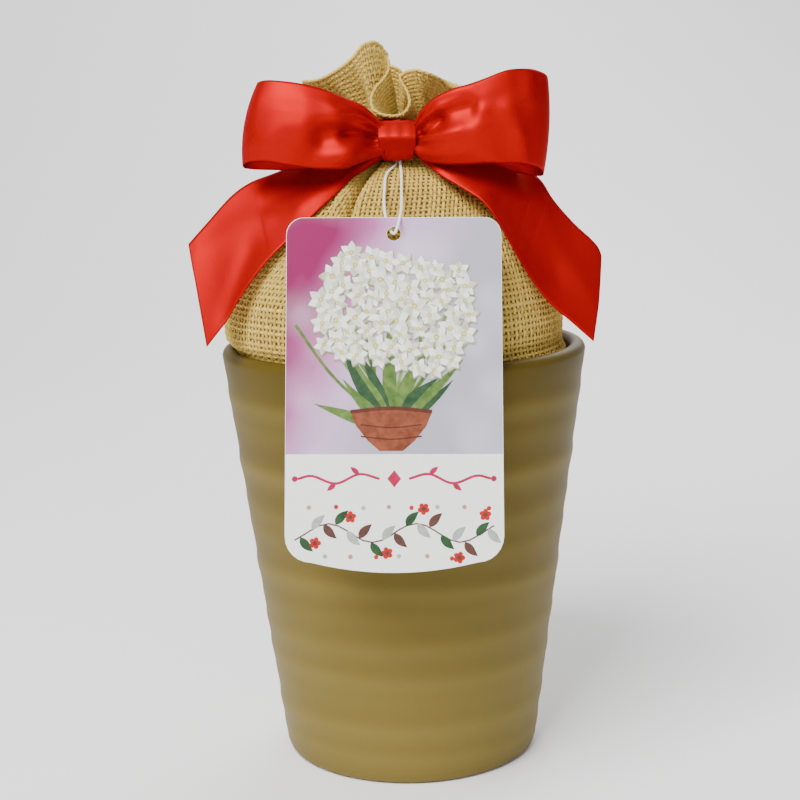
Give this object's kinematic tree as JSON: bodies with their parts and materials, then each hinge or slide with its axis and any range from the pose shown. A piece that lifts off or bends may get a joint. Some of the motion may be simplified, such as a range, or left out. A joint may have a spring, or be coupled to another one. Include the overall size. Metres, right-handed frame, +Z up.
{
  "type": "potted gift sack of flower bulbs",
  "caption": "Ribbed glazed pot holding a gathered burlap sack of flower bulbs, tied with a satin ribbon bow, with a hang tag on a string.",
  "frame": {"origin": "middle of the pot's flat base, on its axis", "axes": "+Z up along the pot's axis, -Y towards the front with the tag and the bow, +X to the viewer's right"},
  "size_m": [0.152, 0.1601, 0.2736],
  "materials": {
    "glaze": "satin olive-gold glaze over soft ribs",
    "burlap": "coarse plain-weave jute",
    "peat": "loose dark growing medium",
    "bulb_skin": "dry papery brown skin",
    "satin": "red satin ribbon",
    "card": null,
    "string": "thin white string"
  },
  "bodies": {
    "root": {"pot": "glaze", "burlap_bag": "burlap", "growing_medium": "peat", "bulb_1": "bulb_skin", "bulb_2": "bulb_skin", "bulb_3": "bulb_skin", "neck_band": "satin", "bow_loop_left": "satin", "bow_loop_right": "satin", "bow_tail_left": "satin", "bow_tail_right": "satin", "bow_knot": "satin", "hang_tag": "card", "tag_string": "string"}
  },
  "joints": []
}
